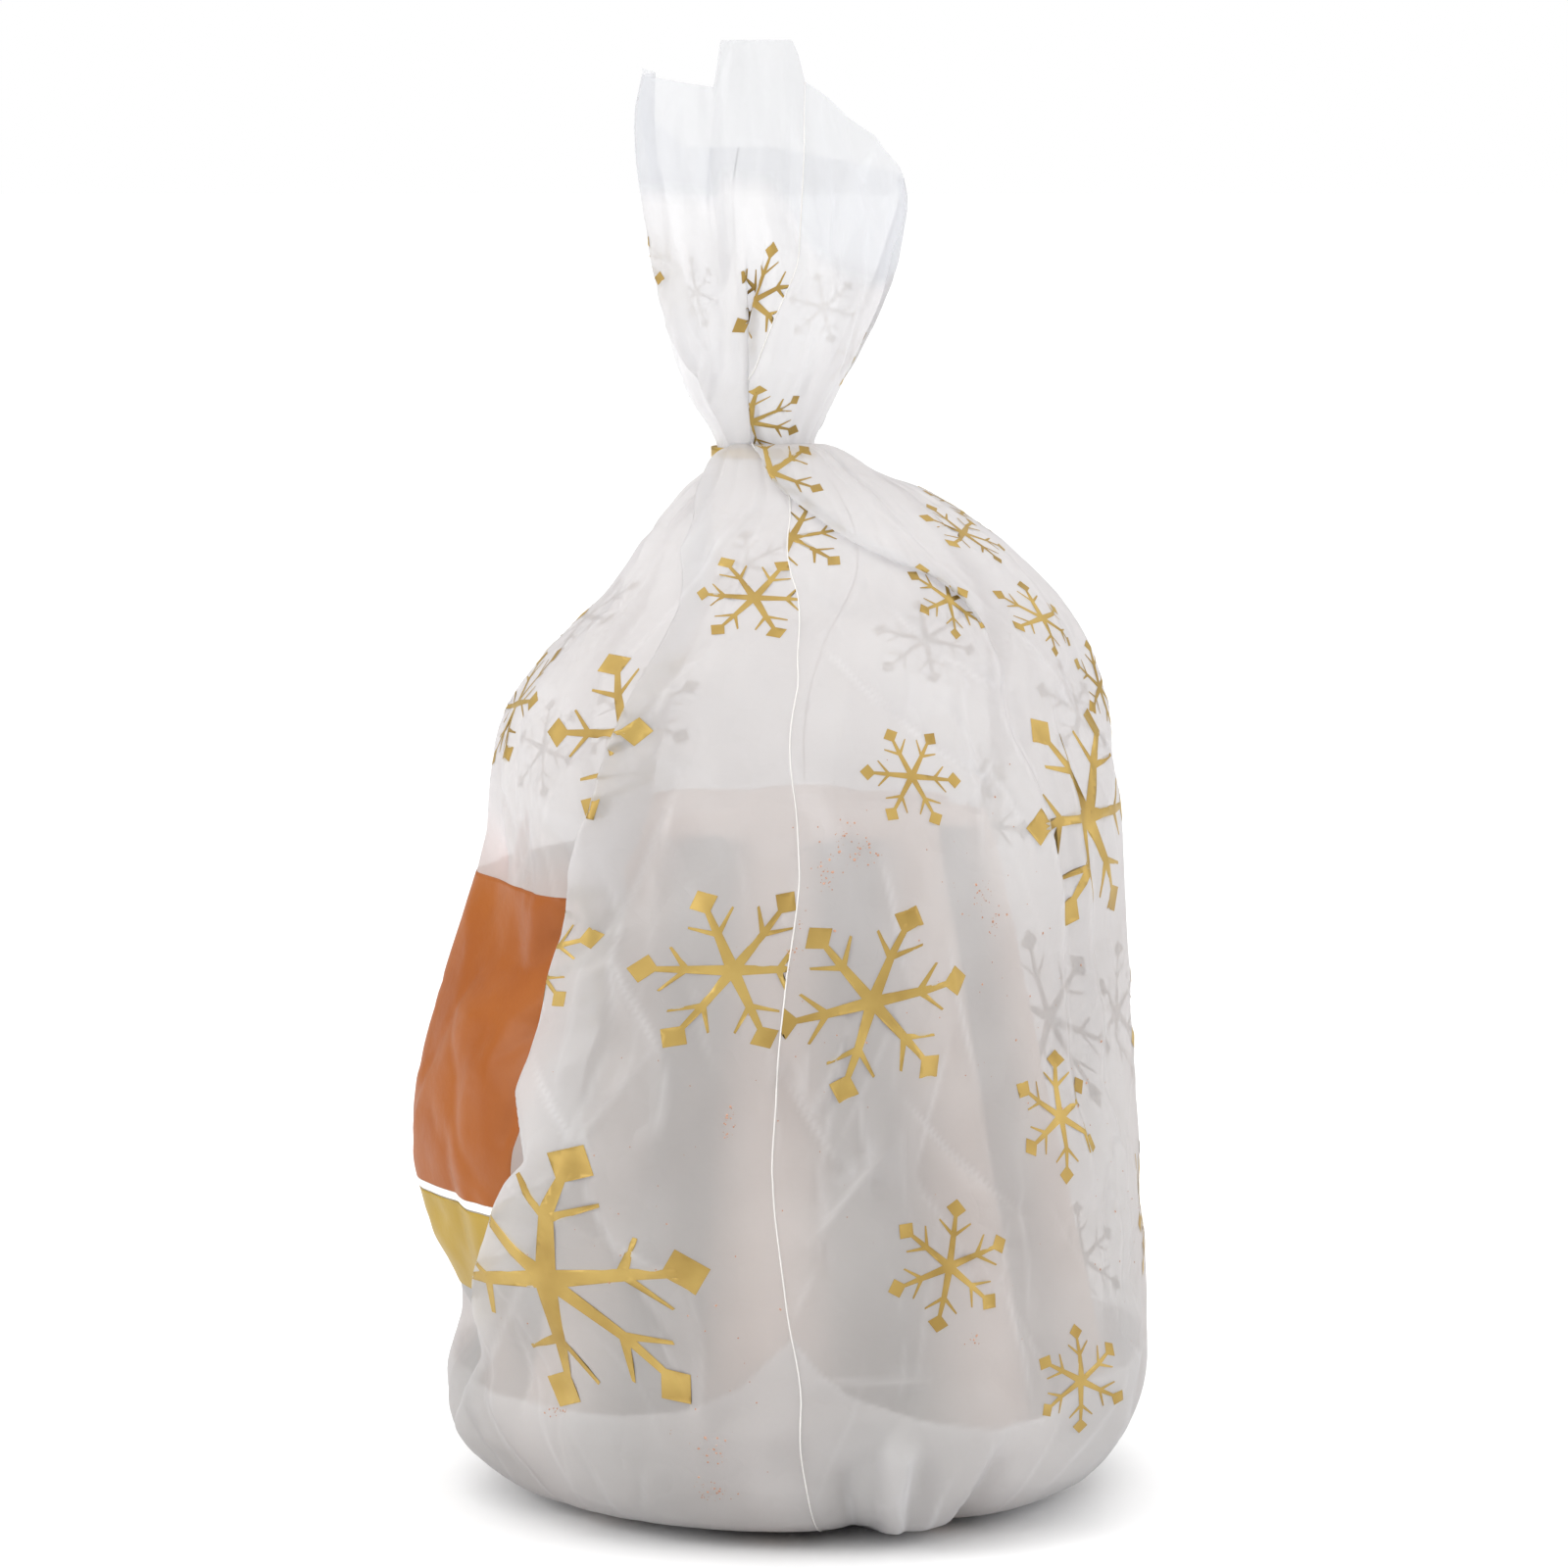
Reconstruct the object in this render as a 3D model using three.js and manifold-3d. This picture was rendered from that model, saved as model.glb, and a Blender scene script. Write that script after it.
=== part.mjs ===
// A pandoro, the eight-pointed star cake, in its tied gift bag.
// Millimetres, +Z up. The bag stands on its gusset: the front panel faces -X, the back panel +X,
// and the two side welds run up the bag at -Y and +Y.
import * as THREE from "three";
import { ParametricGeometry } from "three/addons/geometries/ParametricGeometry.js";
import { mergeVertices } from "three/addons/utils/BufferGeometryUtils.js";
import Module from "manifold-3d";

// Bag film. The real film is a few hundredths of a millimetre thick: the wall here is thick enough
// to be a solid.
const FILM = 1;
const GAP = 0.3;
// Facets round the bag and along it, and how far a cutting solid runs past what it cuts.
const AROUND = 32;
const BAG_RINGS = 22;
const CLEAR = 5;
// Girths of the filled bag, from the edge it rests on up to its mouth:
// [height, left side (-X), right side (+X), half depth (Y)]
const GIRTHS = [
  [0, -78, 82, 80],
  [8, -94, 94, 94],
  [24, -108, 105, 106],
  [50, -108, 109, 109],
  [112, -118, 106, 109],
  [175, -105, 103, 103],
  [235, -91, 98, 92],
  [265, -71, 88, 76],
  [295, -46, 62, 52],
  [310, -32, 36, 29],
  [317, -26, 8, 15],
  [323, -26, 7, 14],
  [345, -36, 17, 27],
  [375, -43, 29, 44],
  [408, -47, 33, 56],
  [425, -45, 31, 58],
];
const NECK_HEIGHT = 320;
const PLEATS = 8;
const PLEAT_DEPTH_NECK = 0.09;
const PLEAT_DEPTH_MOUTH = 0.14;
const PLEAT_REACH = 45;
// The mouth slants down from the front panel to the back one, and the near side weld ends in a raised tab.
const MOUTH_SLANT = 13;
const TAB_HEIGHT = 20;
const TAB_HALF_ANGLE = 0.3;
const MOUTH_BLEND = 90;

// Bottom gusset: a dish inside the panels, its rim a pair of arcs that climb to each side weld.
const GUSSET_RIM_LOW = 36;
const GUSSET_RIM_HIGH = 62;
const DISH_RINGS = 5;

// The loaf stands on its broad face and narrows upwards.
const LOAF_CENTRE_X = -1;
const LOAF_BASE = 2.6;
const LOAF_HEIGHT = 209;
const STAR_POINTS = 8;
const STAR_VALLEY = 0.79;
const STAR_TURN = THREE.MathUtils.degToRad(-95);
const LOAF_FOOT_RADIUS = 76;
const LOAF_WIDEST_RADIUS = 99;
const LOAF_TOP_RADIUS = 60;

// Icing sugar sachet, a flat pillow between the loaf and the front panel.
const SACHET = {
  width: 76,
  height: 100,
  thick: 5,
  x: -88,
  y: -3,
  z: 156,
  lean: THREE.MathUtils.degToRad(4),
};

// Twist tie: a ribbon round the neck, its two ends twisted together on the far side.
const TIE = { width: 4, thick: 0.9, tail: 26, turns: 1.75, slack: 1 };

const wasm = await Module();
wasm.setup();

// The closed solid of a geometry, with shared vertices merged and collapsed triangles dropped.
function solid(geometry) {
  const bare = geometry.clone();
  bare.deleteAttribute("normal");
  bare.deleteAttribute("uv");
  const merged = mergeVertices(bare, 1e-3);
  const corners = merged.index.array;
  const kept = [];
  for (let i = 0; i < corners.length; i += 3) {
    const [a, b, c] = corners.slice(i, i + 3);
    if (a !== b && b !== c && c !== a) kept.push(a, b, c);
  }
  return new wasm.Manifold(
    new wasm.Mesh({
      numProp: 3,
      vertProperties: merged.attributes.position.array,
      triVerts: new Uint32Array(kept),
    }),
  );
}

function geometryOf(manifold) {
  const made = manifold.getMesh();
  const geometry = new THREE.BufferGeometry();
  geometry.setAttribute("position", new THREE.BufferAttribute(made.vertProperties, 3));
  geometry.setIndex(new THREE.BufferAttribute(made.triVerts, 1));
  geometry.computeVertexNormals();
  return geometry;
}

// A closed surface from pointAt(angle, along), whose first and last rows each close on one point.
function closedSurface(pointAt, around, rows) {
  return solid(
    new ParametricGeometry((u, v, target) => target.copy(pointAt(u * 2 * Math.PI, v * rows)), around, rows),
  );
}

// Smooth curves through the girths: along runs from 0 at the base to 1 at the mouth.
const girthCurve = new THREE.CatmullRomCurve3(
  GIRTHS.map(([z, left, right]) => new THREE.Vector3(left, right, z)),
);
const depthCurve = new THREE.CatmullRomCurve3(
  GIRTHS.map(([z, , , depth]) => new THREE.Vector3(depth, 0, z)),
);

function bagPoint(angle, along) {
  const girth = girthCurve.getPoint(along);
  const depth = depthCurve.getPoint(along).x;
  const aboveNeck = girth.z > NECK_HEIGHT;
  const nearNeck = Math.exp(-(((girth.z - NECK_HEIGHT) / PLEAT_REACH) ** 2));
  const pleatDepth = aboveNeck
    ? THREE.MathUtils.lerp(PLEAT_DEPTH_MOUTH, PLEAT_DEPTH_NECK, nearNeck)
    : PLEAT_DEPTH_NECK * nearNeck;
  const swell = 1 + pleatDepth * Math.cos(PLEATS * angle);
  const halfWidth = ((girth.y - girth.x) / 2) * swell;
  const centre = (girth.x + girth.y) / 2;
  const tab = TAB_HEIGHT * Math.exp(-(((angle - 1.5 * Math.PI) / TAB_HALF_ANGLE) ** 2));
  const rise = tab - MOUTH_SLANT * Math.cos(angle);
  const mouthBlend = THREE.MathUtils.smoothstep(girth.z, GIRTHS.at(-1)[0] - MOUTH_BLEND, GIRTHS.at(-1)[0]);
  return new THREE.Vector3(
    centre + halfWidth * Math.cos(angle),
    depth * swell * Math.sin(angle),
    girth.z + rise * mouthBlend,
  );
}

// The bag surface moved inwards by inset.
function insetPoint(angle, along, inset) {
  const step = 1e-3;
  const low = Math.max(along - step, 0);
  const high = Math.min(along + step, 1);
  const up = bagPoint(angle, high).sub(bagPoint(angle, low));
  const round = bagPoint(angle + step, along).sub(bagPoint(angle - step, along));
  const outward = round.cross(up).normalize();
  return bagPoint(angle, along).addScaledVector(outward, -inset);
}

// The space inside the bag surface, up to topAt(angle) of its length. Its flat floor is at floor, and it
// can be stretched straight on below its floor and above its top.
function bagSolid(inset, { floor = 0, below = 0, above = 0, topAt = () => 1, rings = BAG_RINGS }) {
  const ring = (angle, index) => {
    const point = insetPoint(angle, (index / rings) * topAt(angle), inset);
    if (index === 0) point.z = floor;
    return point;
  };
  const axis = (GIRTHS[0][1] + GIRTHS[0][2]) / 2;
  const down = new THREE.Vector3(0, 0, -below);
  const up = new THREE.Vector3(0, 0, above);
  const pointAt = (angle, row) => {
    const index = Math.round(row) - 2;
    if (index === -2) return new THREE.Vector3(axis, 0, floor - below);
    if (index === -1) return ring(angle, 0).add(down);
    if (index === rings + 1) return ring(angle, rings).add(up);
    if (index === rings + 2) return ring(0, rings).add(ring(Math.PI, rings)).multiplyScalar(0.5).add(up);
    return ring(angle, index);
  };
  return closedSurface(pointAt, AROUND, rings + 4);
}

// A thin curtain that follows the bag's middle from below its base to above its mouth, along Y.
function weldCut() {
  const middle = GIRTHS.map(([z, left, right]) => new THREE.Vector2((left + right) / 2, z));
  const path = [
    new THREE.Vector2(middle[0].x, -20),
    ...middle.slice(1),
    new THREE.Vector2(middle.at(-1).x, 500),
  ];
  const outline = [
    ...path.map((p) => new THREE.Vector2(p.x - GAP / 2, p.y)),
    ...path.toReversed().map((p) => new THREE.Vector2(p.x + GAP / 2, p.y)),
  ];
  const curtain = new THREE.ExtrudeGeometry(new THREE.Shape(outline), { depth: 400, bevelEnabled: false });
  curtain.translate(0, 0, -200);
  curtain.rotateX(Math.PI / 2);
  return solid(curtain);
}

// How far along the bag the gusset's rim lies at an angle.
function rimAt(angle) {
  const height = THREE.MathUtils.lerp(GUSSET_RIM_LOW, GUSSET_RIM_HIGH, Math.sin(angle) ** 8);
  let along = 0;
  while (girthCurve.getPoint(along).z < height) along += 0.002;
  return along;
}

function bagPanels() {
  const inside = bagSolid(FILM, { below: CLEAR, above: CLEAR });
  const dishSeat = bagSolid(FILM, { below: CLEAR, above: GAP, topAt: rimAt, rings: DISH_RINGS });
  const wall = bagSolid(0, {}).subtract(inside).subtract(dishSeat);
  const halves = wall.subtract(weldCut()).decompose();
  const middleX = (half) => (half.boundingBox().min[0] + half.boundingBox().max[0]) / 2;
  return halves.sort((a, b) => middleX(a) - middleX(b));
}

function bottomGusset() {
  const dish = bagSolid(FILM + GAP, { topAt: rimAt, rings: DISH_RINGS });
  const inside = bagSolid(2 * FILM + GAP, { floor: FILM, above: CLEAR, topAt: rimAt, rings: DISH_RINGS });
  return dish.subtract(inside);
}

function loaf() {
  const profile = new THREE.CatmullRomCurve3(
    [
      [LOAF_FOOT_RADIUS, LOAF_BASE],
      [LOAF_FOOT_RADIUS + 9, LOAF_BASE + 6],
      [LOAF_WIDEST_RADIUS, LOAF_BASE + 22],
      [LOAF_WIDEST_RADIUS - 3, LOAF_BASE + 45],
      [LOAF_TOP_RADIUS + 4, LOAF_BASE + LOAF_HEIGHT - 16],
      [LOAF_TOP_RADIUS - 1, LOAF_BASE + LOAF_HEIGHT - 5],
      [LOAF_TOP_RADIUS - 10, LOAF_BASE + LOAF_HEIGHT],
    ].map(([radius, z]) => new THREE.Vector3(radius, 0, z)),
  );
  const rings = 12;
  const pointAt = (angle, row) => {
    const end = row < 0.5 ? 0 : row > rings + 0.5 ? 1 : (Math.round(row) - 1) / (rings - 1);
    const { x: radius, z } = profile.getPoint(end);
    if (row < 0.5 || row > rings + 0.5) return new THREE.Vector3(LOAF_CENTRE_X, 0, z);
    const ridge = Math.abs(Math.cos((STAR_POINTS / 2) * (angle - STAR_TURN)));
    const star = radius * (STAR_VALLEY + (1 - STAR_VALLEY) * ridge);
    return new THREE.Vector3(LOAF_CENTRE_X + star * Math.cos(angle), star * Math.sin(angle), z);
  };
  return closedSurface(pointAt, 64, rings + 1);
}

// A flat pillow: two domed faces that meet in a thin edge all round.
function sugarSachet() {
  const { width, height, thick, x, y, z, lean } = SACHET;
  const rows = 8;
  const pointAt = (angle, row) => {
    const across = Math.sin((row / rows) * Math.PI);
    const corner = 1 / Math.max(Math.abs(Math.cos(angle)), Math.abs(Math.sin(angle)));
    const swell = (thick / 2) * Math.cos((row / rows) * Math.PI);
    const reach = across * corner;
    return new THREE.Vector3(
      (reach * Math.cos(angle) * width) / 2,
      (reach * Math.sin(angle) * height) / 2,
      -swell,
    );
  };
  const pillow = new ParametricGeometry(
    (u, v, target) => target.copy(pointAt(u * 2 * Math.PI, v * rows)),
    32,
    rows,
  );
  pillow.rotateX(Math.PI / 2);
  pillow.rotateZ(Math.PI / 2);
  pillow.rotateY(lean);
  pillow.translate(x, y, z);
  return solid(pillow);
}

function twistTie() {
  const neckAlong = (() => {
    let along = 0.4;
    while (girthCurve.getPoint(along).z < NECK_HEIGHT) along += 0.001;
    return along;
  })();
  const girth = girthCurve.getPoint(neckAlong);
  const halfWidth = ((girth.y - girth.x) / 2) * (1 + PLEAT_DEPTH_NECK) + TIE.slack;
  const halfDepth = depthCurve.getPoint(neckAlong).x * (1 + PLEAT_DEPTH_NECK) + TIE.slack;
  const hoop = (grow, tall) => {
    const drum = new THREE.CylinderGeometry(1, 1, tall, 40);
    drum.rotateX(Math.PI / 2);
    drum.scale(halfWidth + grow, halfDepth + grow, 1);
    return solid(drum);
  };
  const ring = hoop(TIE.thick, TIE.width).subtract(hoop(0, TIE.width * 2));
  const steps = 24;
  const tail = new THREE.BoxGeometry(TIE.width, TIE.tail, 2 * TIE.thick, 1, steps, 1);
  const place = tail.getAttribute("position");
  const corner = new THREE.Vector3();
  for (let i = 0; i < place.count; i += 1) {
    corner.fromBufferAttribute(place, i);
    const twist = (corner.y / TIE.tail + 0.5) * TIE.turns * 2 * Math.PI;
    corner.applyAxisAngle(new THREE.Vector3(0, 1, 0), twist);
    place.setXYZ(i, corner.x, corner.y, corner.z);
  }
  tail.translate(0, halfDepth + TIE.tail / 2, 0);
  return ring.add(solid(tail)).translate([(girth.x + girth.y) / 2, 0, NECK_HEIGHT]);
}

function piece(name, manifold, material) {
  const mesh = new THREE.Mesh(geometryOf(manifold), new THREE.MeshStandardMaterial(material));
  mesh.name = name;
  return mesh;
}

const bag = new THREE.Group();
const [frontPanel, backPanel] = bagPanels();
bag.add(
  piece("front_panel", frontPanel, { color: 0xe9e6e3, roughness: 0.35, metalness: 0 }),
  piece("back_panel", backPanel, { color: 0xe6e3e1, roughness: 0.35, metalness: 0 }),
  piece("bottom_gusset", bottomGusset(), { color: 0xdedbd9, roughness: 0.4, metalness: 0 }),
  piece("pandoro_loaf", loaf(), { color: 0xb9783c, roughness: 0.85, metalness: 0 }),
  piece("sugar_sachet", sugarSachet(), { color: 0xf0e6e2, roughness: 0.6, metalness: 0 }),
  piece("twist_tie", twistTie(), { color: 0xc9a24a, roughness: 0.35, metalness: 0.8 }),
);

// The origin is under the middle of the whole part.
const box = new THREE.Box3().setFromObject(bag);
const middle = box.getCenter(new THREE.Vector3());
bag.position.set(-middle.x, -middle.y, -box.min.z);

const part = new THREE.Group();
part.add(bag);

export default part;
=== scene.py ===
"""A pandoro, the eight-pointed star cake, in its tied gift bag.

The frame is in metres, +Z up. The bag's shape is worked out in millimetres and degrees round the bag:
0 faces the near side weld (-Y), +90 the back panel (+X), -90 the front panel (-X), 180 the far side weld.
"""

import math
import random

import bmesh
import bpy
import numpy as np
from mathutils import Matrix, Vector, noise
from mathutils.geometry import delaunay_2d_cdt


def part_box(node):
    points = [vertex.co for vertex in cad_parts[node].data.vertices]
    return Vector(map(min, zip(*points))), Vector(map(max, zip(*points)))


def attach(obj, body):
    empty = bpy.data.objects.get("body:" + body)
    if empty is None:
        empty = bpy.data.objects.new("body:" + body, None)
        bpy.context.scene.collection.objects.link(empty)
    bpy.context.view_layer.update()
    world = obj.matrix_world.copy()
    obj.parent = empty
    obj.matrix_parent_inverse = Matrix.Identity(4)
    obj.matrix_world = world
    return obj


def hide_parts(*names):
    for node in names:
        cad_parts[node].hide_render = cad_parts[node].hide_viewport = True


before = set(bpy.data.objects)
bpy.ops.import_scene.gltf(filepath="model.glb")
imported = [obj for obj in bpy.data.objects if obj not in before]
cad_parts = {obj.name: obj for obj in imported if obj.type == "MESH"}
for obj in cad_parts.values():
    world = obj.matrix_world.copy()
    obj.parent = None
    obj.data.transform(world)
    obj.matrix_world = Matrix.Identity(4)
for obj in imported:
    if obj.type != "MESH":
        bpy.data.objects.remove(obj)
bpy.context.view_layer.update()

MM = 0.001
# Cells of the film net: along the bag from its foot to its mouth, and round it.
ROWS = 352
COLS = 520
# The front panel is widest 118 mm to the left of the middle that the girths are measured from.
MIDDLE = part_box("front_panel")[0].x / MM + 118

# Girths of the filled bag: height, left side (-X), right side (+X), half depth (Y).
GIRTHS = (
    (0, -62, 66, 62),
    (3, -80, 82, 78),
    (8, -94, 94, 92),
    (20, -105, 104, 104),
    (35, -109, 109, 108),
    (50, -104, 109, 109),
    (66, -106, 108.5, 109),
    (81, -111, 107.5, 109),
    (111, -117.5, 106, 109),
    (141, -113, 103.5, 107),
    (171, -104, 102, 103),
    (201, -95, 100, 97.5),
    (232, -91.5, 96.5, 91.5),
    (247, -85, 94, 86),
    (262, -72.5, 89, 78),
    (277, -57, 79, 66.5),
    (292, -47, 63, 53),
    (307, -35, 41, 34),
    (312, -30, 26, 24),
    (317, -26, 8, 15),
    (323, -26, 7, 14),
    (345, -36, 17, 27),
    (375, -43, 29, 44),
    (408, -48, 34, 56),
    (425, -46, 33, 58),
)
NECK = 320
MOUTH = 425
# The mouth's edge: angle, height. Left point, raised tab beside the near weld, low right side.
MOUTH_EDGE = (
    (-180, 411), (-120, 411), (-92, 424), (-88, 435), (-50, 431), (-26, 428.5), (-23, 442), (8, 442),
    (11, 438), (14, 430), (35, 422), (60, 412), (90, 400), (120, 403), (180, 411),
)


# ---------------------------------------------------------------- small tools


def linear(code):
    """A colour given as an sRGB hex value, in linear light."""
    parts = [int(code[i : i + 2], 16) / 255 for i in (1, 3, 5)]
    return tuple(c / 12.92 if c <= 0.04045 else ((c + 0.055) / 1.055) ** 2.4 for c in parts) + (1.0,)


def ease(x, low, high):
    """0 below low, 1 above high, a soft step between."""
    t = np.clip((x - low) / (high - low), 0, 1)
    return t * t * (3 - 2 * t)


def along(x, stations):
    """The value at x on straight lines between (x, value) stations."""
    places, values = zip(*stations)
    return np.interp(x, places, values)


def smooth_stations(stations, count):
    """Evenly spaced points on a Catmull-Rom curve through the stations."""
    pts = np.array(stations, float)
    pts = np.vstack([2 * pts[0] - pts[1], pts, 2 * pts[-1] - pts[-2]])
    t = np.linspace(0, len(pts) - 3, count)
    i = np.minimum(t.astype(int), len(pts) - 4)
    f = (t - i)[:, None]
    a, b, c, d = pts[i], pts[i + 1], pts[i + 2], pts[i + 3]
    return 0.5 * (2 * b + (c - a) * f + (2 * a - 5 * b + 4 * c - d) * f**2 + (3 * b - a - 3 * c + d) * f**3)


def soft_noise(rng, rows, cols):
    """Smooth noise over the film, as a function of the angle and of the share of the film's length."""
    grid = rng.normal(size=(rows + 1, cols))

    def at(angle, share):
        i = np.clip(share, 0, 1) * (rows - 1e-6)
        j = (angle + 180) / 360 * cols
        i0, j0 = np.floor(i).astype(int), np.floor(j).astype(int)
        f, g = i - i0, j - j0
        f, g = f * f * (3 - 2 * f), g * g * (3 - 2 * g)
        low = grid[i0, j0 % cols] * (1 - g) + grid[i0, (j0 + 1) % cols] * g
        high = grid[i0 + 1, j0 % cols] * (1 - g) + grid[i0 + 1, (j0 + 1) % cols] * g
        return low * (1 - f) + high * f

    return at


# ---------------------------------------------------------------- the bag film's surface

fine = smooth_stations(GIRTHS, 3000)
mean_radius = (fine[:, 2] - fine[:, 1]) / 4 + fine[:, 3] / 2
arc = np.concatenate([[0], np.cumsum(np.hypot(np.diff(mean_radius), np.diff(fine[:, 0])))])
FILM_LENGTH = arc[-1]
SHARES = np.linspace(0, 1, ROWS + 1)
row_height, row_left, row_right, row_depth = (np.interp(SHARES * FILM_LENGTH, arc, column) for column in fine.T)
row_radius = (row_right - row_left) / 4 + row_depth / 2
row_middle = (row_left + row_right) / 2 + MIDDLE
ANGLES = np.linspace(-180, 180, COLS, endpoint=False)
ANGLE, SHARE = np.meshgrid(ANGLES, SHARES)
HEIGHT = np.repeat(row_height[:, None], COLS, axis=1)


# How far the near side weld wanders round from the bag's middle: height, degrees.
DRIFT = (
    (0, 5.5), (9, 3.5), (30, 1.2), (46, -0.5), (69, -1), (117, 1.4), (174, 0), (221, 0.3), (256, -2), (283, -7.8), (297, -12),
    (312.2, -13), (322, -12), (345, 8), (375, 14),
)
AROUND = ANGLE + along(HEIGHT, DRIFT)


def share_at(height):
    return np.interp(height, row_height, SHARES)


def sample(surface, angle, share):
    """Points of the surface at any angle and share of the length."""
    i = np.clip(share, 0, 1) * (ROWS - 1e-6)
    j = (angle + 180) / 360 * COLS
    i0, j0 = np.floor(i).astype(int), np.floor(j).astype(int)
    f, g = (i - i0)[..., None], (j - j0)[..., None]
    j1 = (j0 + 1) % COLS
    j0 = j0 % COLS
    low = surface[i0, j0] * (1 - g) + surface[i0, j1] * g
    high = surface[i0 + 1, j0] * (1 - g) + surface[i0 + 1, j1] * g
    return low * (1 - f) + high * f


def outward(points, share):
    """Level unit directions from the bag's middle line through the points."""
    middle = np.interp(share, SHARES, row_middle)
    away = np.stack([points[..., 0] - middle, points[..., 1], np.zeros_like(middle)], axis=-1)
    return away / (np.linalg.norm(away, axis=-1, keepdims=True) + 1e-9)


def taut_loft():
    """The film drawn smoothly over its girths, with no folds."""
    turn = np.radians(AROUND)
    half = ((row_right - row_left) / 2)[:, None]
    x = row_middle[:, None] + half * np.sin(turn)
    y = -row_depth[:, None] * np.cos(turn)
    return np.stack([x, y, HEIGHT], axis=-1)


# How far, in cells, the corners of a facet net wander from an even lattice.
WANDER = 0.26


def faceted(film, across, rise, blend, rough, seed, where):
    """Draws the film towards a net of flat facets, as thin stiff film falls between its creases."""
    rng = np.random.default_rng(seed)
    levels = len(rise) - 1
    wander_up = soft_noise(rng, max(levels // 2, 3), max(across // 2, 3))
    wander_round = soft_noise(rng, max(levels // 2, 3), max(across // 2, 3))
    steps = np.arange(levels + 1)
    # corners of the net, found where the wandering lattice crosses its whole numbers
    j, i = np.meshgrid(np.arange(across), steps)
    angle, share = j / across * 360.0 - 180, np.interp(i, steps, rise)
    for _ in range(14):
        up = WANDER * wander_up(angle, share)
        around = WANDER * wander_round(angle, share)
        share = (share + np.interp(i - up, steps, rise)) / 2
        angle = (angle + (j - around) / across * 360 - 180) / 2
    corners = sample(film, angle, share)
    # chords cut inside the round, so the corners stand out a little
    stand = np.interp(share, SHARES, row_radius) * (1 - math.cos(math.pi / across)) * 0.9
    corners = corners + outward(corners, share) * (rng.normal(0, rough, share.shape) + stand * blend)[..., None]
    turned = rng.random((levels, across)) < 0.5
    i = np.clip(np.interp(SHARE, rise, steps) + WANDER * wander_up(ANGLE, SHARE), 0, levels - 1e-6)
    j = (ANGLE + 180) / 360 * across + WANDER * wander_round(ANGLE, SHARE)
    i0, j0 = np.floor(i).astype(int), np.floor(j).astype(int)
    f, g = (i - i0)[..., None], (j - j0)[..., None]
    j1 = (j0 + 1) % across
    j0 = j0 % across
    a, b, c, d = corners[i0, j0], corners[i0 + 1, j0], corners[i0, j1], corners[i0 + 1, j1]
    plain = np.where(f + g <= 1, a + f * (b - a) + g * (c - a), d + (1 - f) * (c - d) + (1 - g) * (b - d))
    other = np.where(f > g, a + f * (b - a) + g * (d - b), a + g * (c - a) + f * (d - c))
    flat = np.where(turned[i0, j0][..., None], other, plain)
    away = outward(film, SHARE)
    move = np.sum((flat - film) * away, axis=-1) * blend * where
    return film + away * move[..., None]


def relaxed(film, rounds, share=0.5):
    for _ in range(rounds):
        above, below = film[2:], film[:-2]
        beside = np.roll(film, 1, axis=1)[1:-1] + np.roll(film, -1, axis=1)[1:-1]
        film = film.copy()
        film[1:-1] += ((above + below + beside) / 4 - film[1:-1]) * share
    return film


def from_line(line):
    """Signed degrees from a line up the film, given as the place round the bag at each height."""
    return (AROUND - along(HEIGHT, line) + 180) % 360 - 180


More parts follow.
